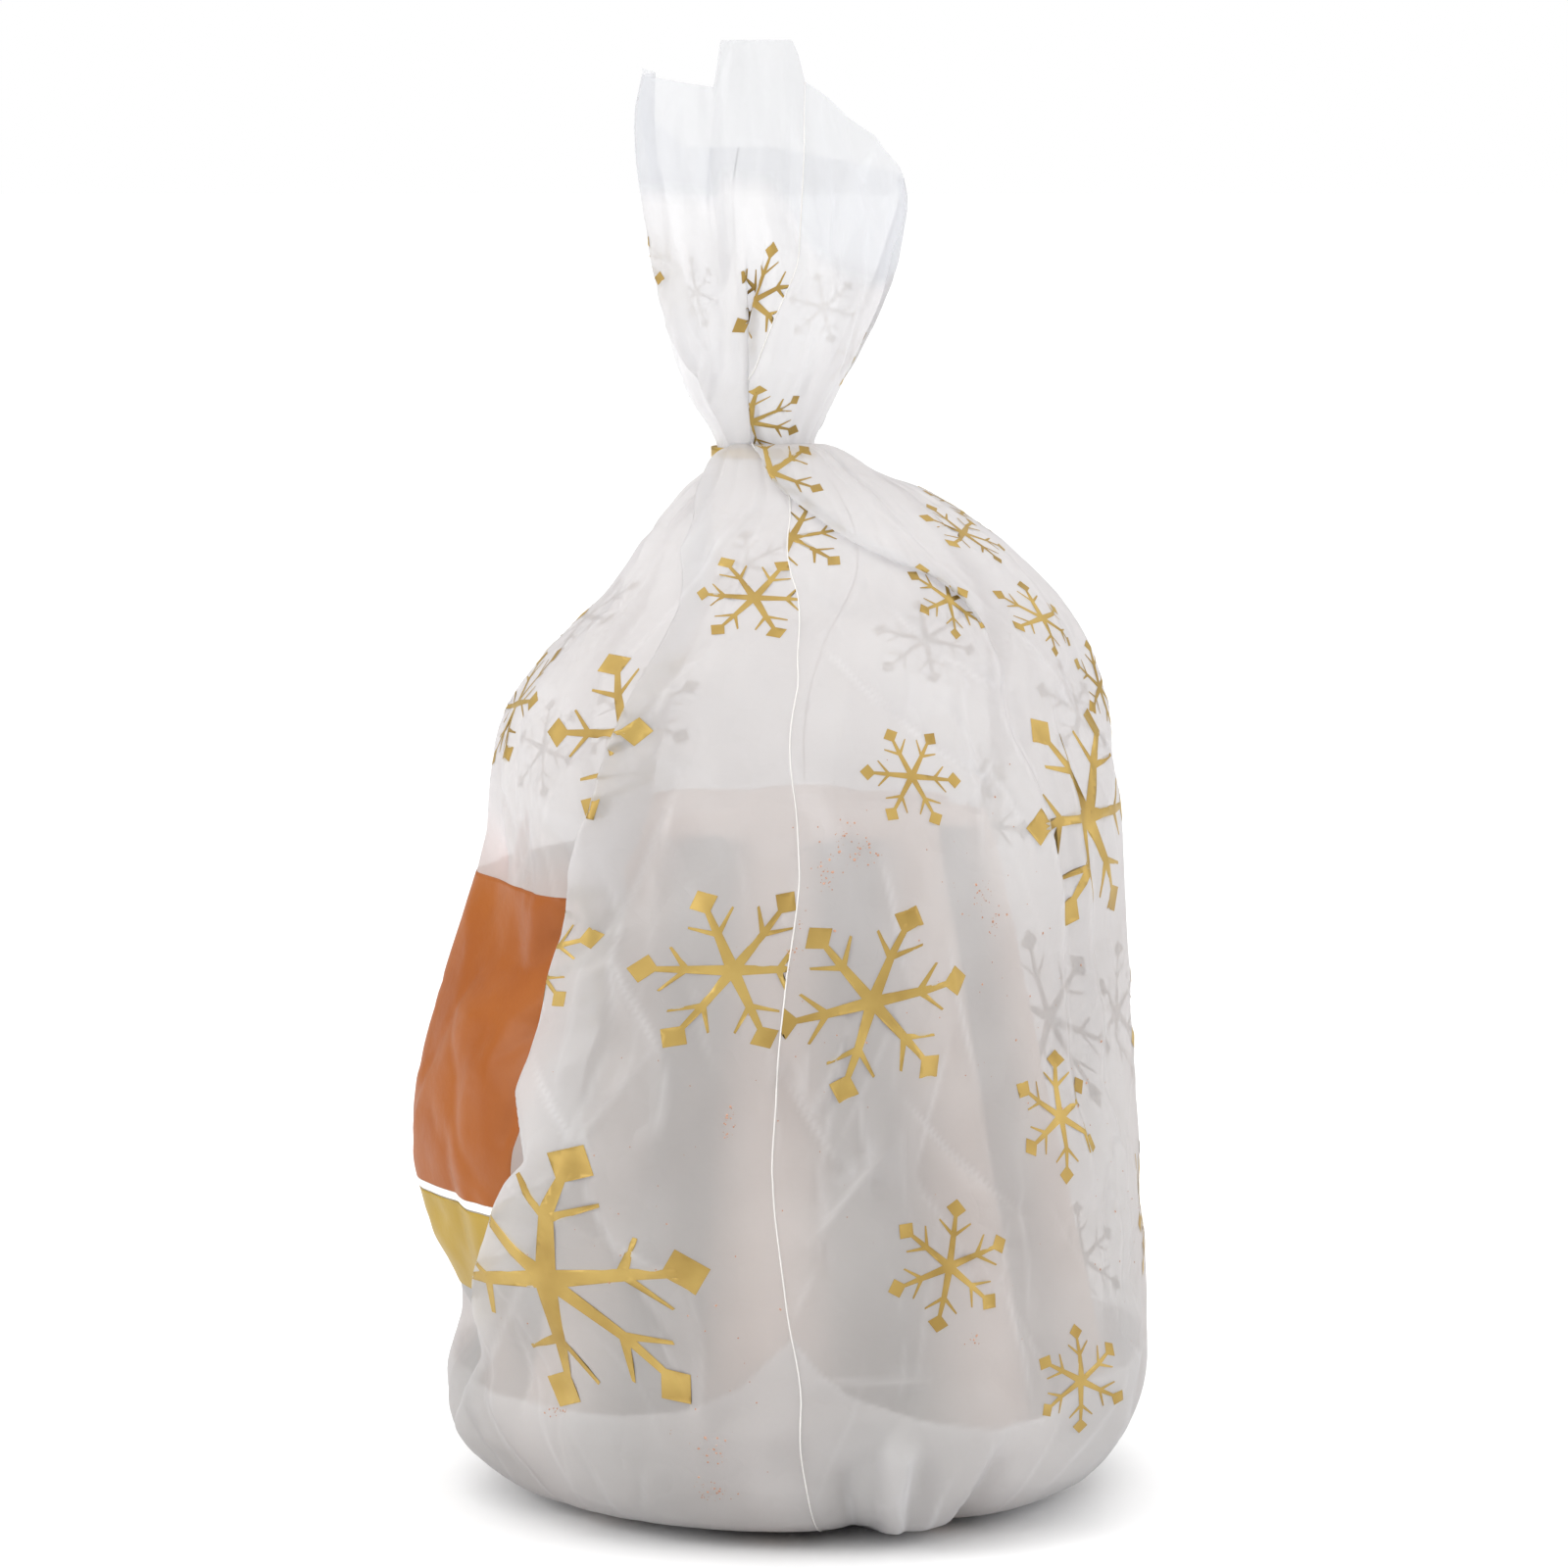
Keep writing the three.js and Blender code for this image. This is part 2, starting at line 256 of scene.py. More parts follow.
# Folds where the film laps over itself, each with its line up the film (height, place round the bag), how far
# it laps (height, degrees) and how far its two sides stand apart (height, mm; the later side stands proud).
LAPS = (
    # the near side's film laps over the front panel in one long flap
    (
        ((25, -77), (46, -68), (88, -46), (118, -33), (137, -38.5), (160, -39), (180, -39.5), (201, -39.5),
         (209, -36.5), (220, -33.5), (244, -31), (264, -32.5), (279, -37), (295, -45), (308.6, -55), (318, -63)),
        ((0, 0), (30, 1), (65, 4), (105, 7), (155, 8), (205, 7), (255, 6), (305, 6), (318, 5), (330, 0)),
        ((0, 0), (30, 1), (65, 3.5), (105, 6.5), (155, 7), (205, 6), (255, 4), (305, 3), (320, 0.5), (330, 0)),
    ),
    # a lobe on the right shoulder laps down over a pocket under the knot
    (
        ((245, 46), (267, 44), (278, 41), (285, 35), (289, 25), (297, 11), (307, -2), (312, -11), (315, -19)),
        ((245, 0), (267, 1), (278, 3), (289, 5), (307, 7), (315, 6), (322, 0)),
        ((245, 0), (267, 0.6), (278, 1), (289, 1.3), (307, 1.8), (315, 1.2), (322, 0)),
    ),
    # long upright folds on the far side
    (
        ((25, 150), (205, 142), (318, 128)),
        ((10, 0), (65, 2), (205, 4), (285, 5), (318, 5), (326, 0)),
        ((10, 0), (65, 1.5), (205, 2.2), (285, 2.2), (318, 1), (326, 0)),
    ),
    (
        ((25, -128), (205, -132), (318, -122)),
        ((10, 0), (65, 2), (205, 4), (285, 5), (318, 5), (326, 0)),
        ((10, 0), (65, -1.5), (205, -2.2), (285, -2.2), (318, -1), (326, 0)),
    ),
    # pleats of the ruffle above the tie
    (
        ((318, -42), (333, -46), (363, -53), (385, -62), (425, -66)),
        ((318, 0), (326, 14), (350, 12), (400, 6), (425, 4)),
        ((318, 0), (326, 2), (350, 4), (400, 3), (425, 2)),
    ),
    (
        ((318, -19), (344, -17), (380, -14)),
        ((318, 0), (325, 14), (345, 8), (375, 0)),
        ((318, 0), (325, -2), (345, -3), (375, 0)),
    ),
    (
        ((318, 6), (341, -3), (380, -4)),
        ((318, 0), (325, 16), (345, 10), (380, 0)),
        ((318, 0), (325, 2), (345, 3), (380, 0)),
    ),
    (
        ((318, 120), (350, 112), (425, 105)),
        ((318, 0), (326, 14), (360, 10), (425, 3)),
        ((318, 0), (326, 2), (360, 3), (425, 1)),
    ),
    (
        ((318, -140), (350, -146), (425, -150)),
        ((318, 0), (326, 14), (360, 10), (425, 3)),
        ((318, 0), (326, 2), (360, 3), (425, 1)),
    ),
)
# Single creases: depth (mm, a ridge below 0), width (mm) and the line (height, place round the bag).
CREASES = (
    (1.6, 4.0, ((267, 0), (248, 16), (228, 34))),
    (1.4, 3.5, ((277, 14), (264, 26), (253, 42))),
    (-1.2, 3.0, ((305, 30), (275, 50), (235, 72))),
    (1.5, 3.5, ((301, -22), (267, -20), (233, -26))),
    (-1.2, 3.0, ((293, -42), (271, -36), (255, -31), (230, -31))),
    (1.3, 3.5, ((205, -30), (155, -22), (115, -26))),
    (-1.1, 3.0, ((125, -40), (100, -25), (85, -12))),
    (1.2, 3.0, ((155, 28), (115, 22), (80, 30))),
    # upright folds on the back panel
    (-2.2, 3.0, ((275, 42), (251, 41), (221, 46.5), (198, 50.5), (168, 52), (105, 55))),
    (2.0, 5.0, ((250, 45), (221, 50), (198, 54), (168, 56), (120, 58))),
    (-2.0, 3.0, ((245, 58), (202, 59), (166, 62), (105, 66), (60, 68))),
    (1.8, 5.0, ((240, 63), (202, 64), (166, 66), (105, 70))),
    # where the film is drawn over the cake's second valley, right of the near weld
    (-2.0, 3.5, ((124, 16.5), (97, 4.5))),
    (-1.6, 3.0, ((57, 2), (56, 20))),
    (2.0, 3.5, ((138, 20), (102, 38))),
    (-1.6, 3.0, ((87, 33), (43, 38))),
    (1.6, 3.0, ((210, 13), (170, 20))),
    (-1.8, 3.0, ((183, 26), (142, 33))),
    (1.8, 3.5, ((145, 2), (118, 11))),
    (-1.8, 4.0, ((180, -26), (150, -14), (128, -13))),
    (2.0, 4.0, ((147, -34), (120, -22), (70, -20))),
    # the pleat at the foot, right of the near weld: a hollow, a sharp edge and a round lobe beside it
    (8.0, 8.0, ((26, 9), (2, 13))),
    (-8.0, 4.0, ((32, 17), (0, 19))),
    (-6.0, 9.0, ((25, 24), (0, 23))),
    (7.0, 5.0, ((26, 35), (0, 31))),
    (1.8, 4.0, ((45, -62), (5, -50))),
    (1.8, 4.0, ((41, 66), (4, 58))),
)
LAP_REACH = 30
LAP_RISE = 24
# Half width (mm) of the pale line painted along a sharp crease: partly the whitening of creased film, partly a painted
# highlight on the crease's ridge.
MARK_WIDTH = 0.9


def lapped(film):
    """Folds the film over itself along the LAPS lines."""
    turn = np.zeros_like(ANGLE)
    proud = np.zeros_like(ANGLE)
    for line, laps, stands in LAPS:
        away = from_line(line)
        lap = along(HEIGHT, laps)
        half = np.maximum(lap * 0.5, 1.2)
        side = ease(away, -half, half) * 2 - 1
        turn -= lap * side * np.exp(-((away / LAP_REACH) ** 2))
        proud += along(HEIGHT, stands) * side * np.exp(-((away / LAP_RISE) ** 2))
    film = sample(film, ANGLE + turn, SHARE)
    return film + outward(film, SHARE) * proud[..., None]


def gathered(film, seed):
    """Sharp valleys that run down from the neck and up from it, dying away as the film spreads."""
    rng = np.random.default_rng(seed)
    below = NECK - HEIGHT
    radius = row_radius[:, None]
    depth = np.zeros_like(ANGLE)
    for k in range(30):
        start = -180 + 360 * (k + rng.uniform(-0.4, 0.4)) / 30
        drift = rng.uniform(-16, 16)
        down, up = rng.uniform(14, 60), rng.uniform(30, 80)
        deep = rng.uniform(0.8, 3.0)
        line = start + drift * np.clip(below / 100, -1, 1.6)
        away = np.radians((AROUND - line + 180) % 360 - 180) * radius
        width = 1.2 + 0.03 * np.abs(below)
        fade = np.where(below > 0, np.exp(-np.clip(below, 0, None) / down), np.exp(-np.clip(-below, 0, None) / up))
        depth += deep * fade * np.exp(-np.abs(away) / width)
    return film - outward(film, SHARE) * depth[..., None]


def creased(film, seed):
    """The CREASES, and the many small ones that handling leaves."""
    rng = np.random.default_rng(seed)
    lines = [(deep, width, line) for deep, width, line in CREASES]
    for _ in range(230):
        height, place = rng.uniform(12, 290), rng.uniform(-180, 180)
        slope, length = rng.normal(0, 0.45), rng.uniform(14, 75)
        round_by = math.degrees(length * math.sin(slope) / 105)
        ends = ((height + length * math.cos(slope) / 2, place), (height - length * math.cos(slope) / 2, place + round_by))
        lines.append((rng.choice((-1, 1)) * rng.uniform(0.3, 1.4), rng.uniform(1.4, 3.4), ends))
    depth = np.zeros_like(ANGLE)
    # mark: the pale line along each crease, partly whitened film, partly a painted highlight
    mark = np.zeros_like(ANGLE)
    for deep, width, line in lines:
        for (top, first), (foot, last) in zip(line, line[1:]):
            span = (SHARE - share_at(top)) * FILM_LENGTH
            rise = (share_at(foot) - share_at(top)) * FILM_LENGTH
            radius = row_radius[:, None]
            beside = np.radians((AROUND - first + 180) % 360 - 180) * radius
            run = math.radians(last - first) * radius
            part = np.clip((span * rise + beside * run) / (rise**2 + run**2), 0, 1)
            away = np.hypot(span - part * rise, beside - part * run)
            here = np.exp(-away / width)
            ends = ease(np.abs(part - 0.5), 0.2, 0.5) * 0.8
            depth = np.where(np.abs(depth) > np.abs(deep) * here, depth, deep * here)
            mark = np.maximum(mark, min(abs(deep) / 2, 1) * np.exp(-((away / MARK_WIDTH) ** 2)) * (1 - ends))
    for line, laps, _ in LAPS:
        away = np.abs(from_line(line)) * np.radians(row_radius[:, None])
        mark = np.maximum(mark, np.clip(along(HEIGHT, laps) / 4, 0, 1) * np.exp(-((away / MARK_WIDTH) ** 2)))
    return film - outward(film, SHARE) * depth[..., None], mark


def fitted(film):
    """Stretches each ring back to its girth, which facets and folds have drawn in."""
    window = np.hanning(17)
    window /= window.sum()

    def smooth(values):
        return np.convolve(np.pad(values, 8, mode="edge"), window, mode="valid")

    film = film.copy()
    body = (1 - ease(row_height, 304, 315)) + ease(row_height, 335, 350)
    middle = row_middle
    targets = ((0, -1, row_middle - row_left - MIDDLE), (0, 1, row_right + MIDDLE - row_middle), (1, -1, row_depth), (1, 1, row_depth))
    for axis, sign, target in targets:
        centre = middle if axis == 0 else np.zeros_like(middle)
        offset = (film[..., axis] - centre[:, None]) * sign
        grow = smooth(target) / smooth(offset.max(axis=1))
        grow = 1 + (np.clip(grow, 0.85, 1.15) - 1) * body
        film[..., axis] = centre[:, None] + sign * offset * np.where(offset > 0, grow[:, None], 1)
    return film


def bag_film():
    body = ease(HEIGHT, 4, 20) * (1 - ease(HEIGHT, 298, 314))
    ruffle = ease(HEIGHT, 326, 345)
    loose = np.maximum(body, ruffle)
    rng = np.random.default_rng(11)
    patches = np.clip(soft_noise(rng, 8, 11)(ANGLE, SHARE) * 0.6 + 0.5, 0.05, 1)
    small_patches = np.clip(soft_noise(rng, 13, 18)(ANGLE, SHARE) * 0.8 + 0.15, 0, 1)
    film = taut_loft()
    wide = np.array([0, 30, 70, 125, 190, 250, 300, 335, 352, 400, FILM_LENGTH]) / FILM_LENGTH
    film = faceted(film, 15, wide, 0.9, 3.4, 3, np.maximum(body, 0.5 * ruffle))
    film = faceted(film, 31, np.linspace(0, 1, 25), 0.9, 1.9, 8, loose * (0.3 + 0.7 * patches))
    film = faceted(film, 74, np.linspace(0, 1, 60), 0.9, 0.7, 9, loose * small_patches)
    film = relaxed(film, 3)
    film = lapped(film)
    film = gathered(film, 5)
    film, mark = creased(film, 21)
    film = relaxed(film, 2)
    film = fitted(film)
    # under the tie the shoulder's film rolls up over it, except behind
    roll = np.exp(-(((HEIGHT - 314.5) / 3.2) ** 2))
    film[..., 2] += 7.5 * roll * ease(AROUND, -75, -35) * (1 - ease(AROUND, 45, 95))
    edge = along(AROUND, MOUTH_EDGE)
    rise = np.clip((HEIGHT - NECK) / (MOUTH - NECK), 0, None)
    film[..., 2] = np.where(
        HEIGHT > NECK, NECK + (film[..., 2] - NECK) * (1 + (edge - MOUTH) / (MOUTH - NECK) * rise), film[..., 2]
    )
    film[..., 2] = np.maximum(film[..., 2], 0.3)
    return film, mark


film, crease_mark = bag_film()
ring_step = np.roll(film, -1, axis=1) - np.roll(film, 1, axis=1)
row_step = np.gradient(film, axis=0)
film_normal = np.cross(ring_step, row_step)
film_normal /= np.linalg.norm(film_normal, axis=-1, keepdims=True) + 1e-9


def on_film(angle, share, proud=0.0):
    """Points in metres, this many millimetres outside the film."""
    angle, share = np.asarray(angle, float), np.asarray(share, float)
    lift = sample(film_normal, angle, share)
    lift /= np.linalg.norm(lift, axis=-1, keepdims=True) + 1e-9
    return (sample(film, angle, share) + lift * np.asarray(proud)[..., None]) * MM


# ---------------------------------------------------------------- pieces


def piece_from(name, bm, material, smooth=True):
    mesh = bpy.data.meshes.new(name)
    bm.to_mesh(mesh)
    bm.free()
    mesh.materials.append(material)
    if smooth:
        mesh.shade_smooth()
    piece = bpy.data.objects.new(name, mesh)
    bpy.context.scene.collection.objects.link(piece)
    return piece


def grid_piece(name, across, up, shape, material):
    """A grid whose vertices are moved by shape(u, v) to their places in metres; u and v run from 0 to 1."""
    bm = bmesh.new()
    bmesh.ops.create_grid(bm, x_segments=across, y_segments=up, size=1)
    piece = piece_from(name, bm, material)
    places = np.empty(len(piece.data.vertices) * 3)
    piece.data.vertices.foreach_get("co", places)
    u, v = (places.reshape(-1, 3)[:, :2].T + 1) / 2
    places = np.asarray(shape(u, v), float)
    piece.data.vertices.foreach_set("co", places.ravel())
    piece.data.update()
    return piece


def welded(piece):
    bm = bmesh.new()
    bm.from_mesh(piece.data)
    bmesh.ops.remove_doubles(bm, verts=bm.verts, dist=1e-5)
    bmesh.ops.recalc_face_normals(bm, faces=bm.faces)
    bm.to_mesh(piece.data)
    bm.free()


def thickened(piece, thickness):
    wall = piece.modifiers.new("thickness", "SOLIDIFY")
    wall.thickness = thickness
    wall.offset = 0
    return piece


def paint(piece, name, values):
    layer = piece.data.attributes.new(name, "FLOAT", "POINT")
    layer.data.foreach_set("value", np.asarray(values, np.float32))


def add(tree, kind, settings=None, links=None):
    """Adds a shader node with its settings (properties or input values) and links (input from socket)."""
    node = tree.nodes.new("ShaderNode" + kind)
    for key, value in (settings or {}).items():
        if isinstance(key, str) and hasattr(node, key):
            setattr(node, key, value)
        else:
            node.inputs[key].default_value = value
    for key, socket in (links or {}).items():
        tree.links.new(socket, node.inputs[key])
    return node


def new_material(name):
    material = bpy.data.materials.new(name)
    material.use_nodes = True
    material.node_tree.nodes.clear()
    return material, material.node_tree


def milky_film():
    """LDPE bag film, blown, printed all over with a thin white except for a clear band at the mouth."""
    material, tree = new_material("white printed LDPE film")
    place = add(tree, "TexCoord").outputs["Object"]
    clear = add(tree, "Attribute", {"attribute_name": "clear_band"}).outputs["Fac"]
    double = add(tree, "Attribute", {"attribute_name": "double_ply"}).outputs["Fac"]
    # along a sharp crease the film is painted paler and less see-through: partly the whitening of creased film, partly
    # a painted highlight on the crease's ridge
    line = add(tree, "Attribute", {"attribute_name": "crease_line"}).outputs["Fac"]
    # crumple of handled film, creases about 11 mm apart
    cells = add(tree, "TexVoronoi", {"feature": "DISTANCE_TO_EDGE", "Scale": 1 / 0.011, "Randomness": 1.0}, {"Vector": place})
    crease = add(tree, "MapRange", {"From Max": 0.25, "To Min": 0.0, "To Max": 1.0}, {"Value": cells.outputs["Distance"]})
    crumple = add(tree, "TexNoise", {"Scale": 1 / 0.02, "Detail": 4.0, "Roughness": 0.62}, {"Vector": place})
    height = add(tree, "Math", {"operation": "MULTIPLY_ADD", 1: 0.2}, {0: crease.outputs[0], 2: crumple.outputs["Fac"]})
    bump = add(tree, "Bump", {"Strength": 0.5, "Distance": 0.0012}, {"Height": height.outputs[0]})
    patches = add(tree, "TexNoise", {"Scale": 1 / 0.06, "Detail": 2.0}, {"Vector": place})
    tone = add(tree, "ValToRGB", {}, {"Fac": patches.outputs["Fac"]})
    tone.color_ramp.elements[0].position = 0.35
    tone.color_ramp.elements[0].color = linear("#DEDAD6")
    tone.color_ramp.elements[1].position = 0.65
    tone.color_ramp.elements[1].color = linear("#E9E6E2")
    crease_whitening_and_highlight = add(tree, "Math", {"operation": "MULTIPLY", 1: 0.35}, {0: line})
    printed = add(tree, "Mix", {"data_type": "RGBA", 7: linear("#F7F6F4")}, {0: crease_whitening_and_highlight.outputs[0], 6: tone.outputs[0]})
    tint = add(tree, "Mix", {"data_type": "RGBA", 7: linear("#D6D5D4")}, {0: clear, 6: printed.outputs[2]})
    gloss = add(tree, "MapRange", {"To Min": 0.24, "To Max": 0.44}, {"Value": crumple.outputs["Fac"]})
    skin = add(
        tree,
        "BsdfPrincipled",
        {"IOR": 1.5},
        {"Base Color": tint.outputs[2], "Roughness": gloss.outputs[0], "Normal": bump.outputs[0]},
    )
    # light that has come through the film is a little cooler
    through = add(tree, "Mix", {"data_type": "RGBA", "blend_type": "MULTIPLY", 0: 1.0, 7: linear("#F2F6FF")}, {6: tint.outputs[2]})
    glow = add(tree, "BsdfTranslucent", {}, {"Color": through.outputs[2], "Normal": bump.outputs[0]})
    milk = add(tree, "MixShader", {0: 0.62}, {1: skin.outputs[0], 2: glow.outputs[0]})
    open_share = add(tree, "MapRange", {"To Min": 0.18, "To Max": 0.5}, {"Value": clear})
    plied = add(tree, "Math", {"operation": "MULTIPLY_ADD", 1: -0.08}, {0: double, 2: open_share.outputs[0]})
    see = add(tree, "Math", {"operation": "MULTIPLY_ADD", 1: -0.12, "use_clamp": True}, {0: line, 2: plied.outputs[0]})
    gap = add(tree, "BsdfTransparent")
    both = add(tree, "MixShader", {}, {0: see.outputs[0], 1: milk.outputs[0], 2: gap.outputs[0]})
    add(tree, "OutputMaterial", {}, {"Surface": both.outputs[0]})
    return material


def gold_ink():
    """Bronze-gold flexographic ink: fine metal flake in varnish, a soft satin gold."""
    material, tree = new_material("bronze gold printing ink")
    place = add(tree, "TexCoord").outputs["Object"]
    drift = add(tree, "TexNoise", {"Scale": 1 / 0.018, "Detail": 3.0}, {"Vector": place})
    tone = add(tree, "ValToRGB", {}, {"Fac": drift.outputs["Fac"]})
    tone.color_ramp.elements[0].position = 0.32
    tone.color_ramp.elements[0].color = linear("#94783A")
    tone.color_ramp.elements[1].position = 0.68
    tone.color_ramp.elements[1].color = linear("#B09552")
    grain = add(tree, "TexNoise", {"Scale": 1 / 0.0006, "Detail": 1.0}, {"Vector": place})
    bump = add(tree, "Bump", {"Strength": 0.15, "Distance": 0.0001}, {"Height": grain.outputs["Fac"]})
    ink = add(
        tree,
        "BsdfPrincipled",
        {"Metallic": 0.5, "Roughness": 0.52},
        {"Base Color": tone.outputs[0], "Normal": bump.outputs[0]},
    )
    add(tree, "OutputMaterial", {}, {"Surface": ink.outputs[0]})
    return material


def solid_ink(name, dark, light):
    """Flexographic ink laid solid on film: even colour, a little thicker and thinner, glossy like its film."""
    material, tree = new_material(name)
    place = add(tree, "TexCoord").outputs["Object"]
    drift = add(tree, "TexNoise", {"Scale": 1 / 0.03, "Detail": 4.0}, {"Vector": place})
    tone = add(tree, "ValToRGB", {}, {"Fac": drift.outputs["Fac"]})
    tone.color_ramp.elements[0].position = 0.3
    tone.color_ramp.elements[0].color = linear(dark)
    tone.color_ramp.elements[1].position = 0.7
    tone.color_ramp.elements[1].color = linear(light)
    crumple = add(tree, "TexNoise", {"Scale": 1 / 0.02, "Detail": 4.0, "Roughness": 0.62}, {"Vector": place})
    bump = add(tree, "Bump", {"Strength": 0.4, "Distance": 0.0012}, {"Height": crumple.outputs["Fac"]})
    ink = add(
        tree, "BsdfPrincipled", {"Roughness": 0.45, "Specular IOR Level": 0.25}, {"Base Color": tone.outputs[0], "Normal": bump.outputs[0]}
    )
    add(tree, "OutputMaterial", {}, {"Surface": ink.outputs[0]})
    return material


def crust():
    """Baked sweet dough, turned out of a metal mould: pale brown, faintly porous, with painted shade darkening the
    valleys.
    """
    material, tree = new_material("baked pandoro crust")
    place = add(tree, "TexCoord").outputs["Object"]
    bake = add(tree, "TexNoise", {"Scale": 1 / 0.035, "Detail": 6.0, "Roughness": 0.6}, {"Vector": place})
    tone = add(tree, "ValToRGB", {}, {"Fac": bake.outputs["Fac"]})
    tone.color_ramp.elements[0].position = 0.3
    tone.color_ramp.elements[0].color = linear("#C6A896")
    tone.color_ramp.elements[1].position = 0.7
    tone.color_ramp.elements[1].color = linear("#E4CFC4")
    # painted shade: the valleys are darkened towards a dark blue grey, as the shaded gaps between the star's points
    # look through the film; the top is left light
    ridge = add(tree, "Attribute", {"attribute_name": "ridge"}).outputs["Fac"]
    # the crust's tone with the painted valley shade multiplied in
    baked = add(tree, "Mix", {"data_type": "RGBA", "blend_type": "MULTIPLY", 0: 1.0}, {6: tone.outputs[0]})
    depth = add(tree, "ValToRGB", {}, {"Fac": ridge})
    depth.color_ramp.elements[0].position = 0.42
    depth.color_ramp.elements[0].color = linear("#2A2B32")
    depth.color_ramp.elements[1].position = 1.0
    depth.color_ramp.elements[1].color = linear("#FFFFFF")
    tree.links.new(depth.outputs[0], baked.inputs[7])
    pores = add(tree, "TexVoronoi", {"Scale": 1 / 0.003}, {"Vector": place})
    bump = add(tree, "Bump", {"Strength": 0.5, "Distance": 0.0006}, {"Height": pores.outputs["Distance"]})
    rough = add(tree, "MapRange", {"To Min": 0.6, "To Max": 0.8}, {"Value": bake.outputs["Fac"]})
    cake = add(
        tree,
        "BsdfPrincipled",
        {"IOR": 1.4},
        {"Base Color": baked.outputs[2], "Roughness": rough.outputs[0], "Normal": bump.outputs[0]},
    )
    add(tree, "OutputMaterial", {}, {"Surface": cake.outputs[0]})
    return material


def sachet_paper():
    """Coated paper sachet, heat sealed: off-white with a faint pink print and a rough-cut seal."""
    material, tree = new_material("coated sachet paper")
    place = add(tree, "TexCoord").outputs["Object"]
    fibre = add(tree, "TexNoise", {"Scale": 1 / 0.004, "Detail": 5.0}, {"Vector": place})
    tone = add(tree, "ValToRGB", {}, {"Fac": fibre.outputs["Fac"]})
    tone.color_ramp.elements[0].color = linear("#E2B8B0")
    tone.color_ramp.elements[1].color = linear("#EBCDC6")
    bump = add(tree, "Bump", {"Strength": 0.3, "Distance": 0.0004}, {"Height": fibre.outputs["Fac"]})
    rough = add(tree, "MapRange", {"To Min": 0.5, "To Max": 0.7}, {"Value": fibre.outputs["Fac"]})
    paper = add(
        tree,
        "BsdfPrincipled",
        {"IOR": 1.5},
        {"Base Color": tone.outputs[0], "Roughness": rough.outputs[0], "Normal": bump.outputs[0]},
    )
    add(tree, "OutputMaterial", {}, {"Surface": paper.outputs[0]})
    return material


def tie_ribbon():
    """Metallised paper ribbon over a soft wire: dull gold with fine cross wrinkles."""
    material, tree = new_material("gold metallised paper ribbon")
    place = add(tree, "TexCoord").outputs["Object"]
    wrinkle = add(tree, "TexNoise", {"Scale": 1 / 0.0015, "Detail": 3.0}, {"Vector": place})
    tone = add(tree, "ValToRGB", {}, {"Fac": wrinkle.outputs["Fac"]})
    tone.color_ramp.elements[0].color = linear("#9A7A32")
    tone.color_ramp.elements[1].color = linear("#CDAE58")
    bump = add(tree, "Bump", {"Strength": 0.4, "Distance": 0.0003}, {"Height": wrinkle.outputs["Fac"]})
    ribbon = add(
        tree,
        "BsdfPrincipled",
        {"Metallic": 0.8, "Roughness": 0.36},
        {"Base Color": tone.outputs[0], "Normal": bump.outputs[0]},
    )
    add(tree, "OutputMaterial", {}, {"Surface": ribbon.outputs[0]})
    return material


def weld_bead():
    """Two plies of the film fused by a hot bar: denser white, glossy and a little uneven."""
    material, tree = new_material("heat fused LDPE weld")
    place = add(tree, "TexCoord").outputs["Object"]
    uneven = add(tree, "TexNoise", {"Scale": 1 / 0.004, "Detail": 2.0}, {"Vector": place})
    tone = add(tree, "ValToRGB", {}, {"Fac": uneven.outputs["Fac"]})
    tone.color_ramp.elements[0].color = linear("#C8C5C2")
    tone.color_ramp.elements[1].color = linear("#D8D6D3")
    bump = add(tree, "Bump", {"Strength": 0.3, "Distance": 0.0004}, {"Height": uneven.outputs["Fac"]})
    bead = add(
        tree,
        "BsdfPrincipled",
        {"IOR": 1.5, "Roughness": 0.25},
        {"Base Color": tone.outputs[0], "Normal": bump.outputs[0]},
    )
    add(tree, "OutputMaterial", {}, {"Surface": bead.outputs[0]})
    return material


def crumb_dough():
    """Dry crumbs of the crust, pinkish brown."""
    material, tree = new_material("dry crust crumbs")
    place = add(tree, "TexCoord").outputs["Object"]
    spots = add(tree, "TexNoise", {"Scale": 1 / 0.002, "Detail": 1.0}, {"Vector": place})
    tone = add(tree, "ValToRGB", {}, {"Fac": spots.outputs["Fac"]})
    tone.color_ramp.elements[0].color = linear("#9C6F58")
    tone.color_ramp.elements[1].color = linear("#CDA58E")
    dough = add(tree, "BsdfPrincipled", {"Roughness": 0.8}, {"Base Color": tone.outputs[0]})
    add(tree, "OutputMaterial", {}, {"Surface": dough.outputs[0]})
    return material


def floor_finish():
    """Matt studio paper, near white."""
    material, tree = new_material("matt white studio paper")
    place = add(tree, "TexCoord").outputs["Object"]
    grain = add(tree, "TexNoise", {"Scale": 40.0}, {"Vector": place})
    tone = add(tree, "ValToRGB", {}, {"Fac": grain.outputs["Fac"]})
    tone.color_ramp.elements[0].color = linear("#EFEFEF")
    tone.color_ramp.elements[1].color = linear("#F2F2F2")
    paper = add(tree, "BsdfPrincipled", {"Roughness": 0.9, "Specular IOR Level": 0.1}, {"Base Color": tone.outputs[0]})
    add(tree, "OutputMaterial", {}, {"Surface": paper.outputs[0]})
    return material


FILM = milky_film()
GOLD = gold_ink()
ORANGE = solid_ink("orange printing ink", "#87460F", "#915017")
PALE = solid_ink("white printing ink", "#E9E5E0", "#F2EFEA")
OCHRE = solid_ink("ochre gold printing ink", "#957A2A", "#A08536")
CRUST = crust()
PAPER = sachet_paper()
WELD = weld_bead()
CRUMB = crumb_dough()
RIBBON = tie_ribbon()

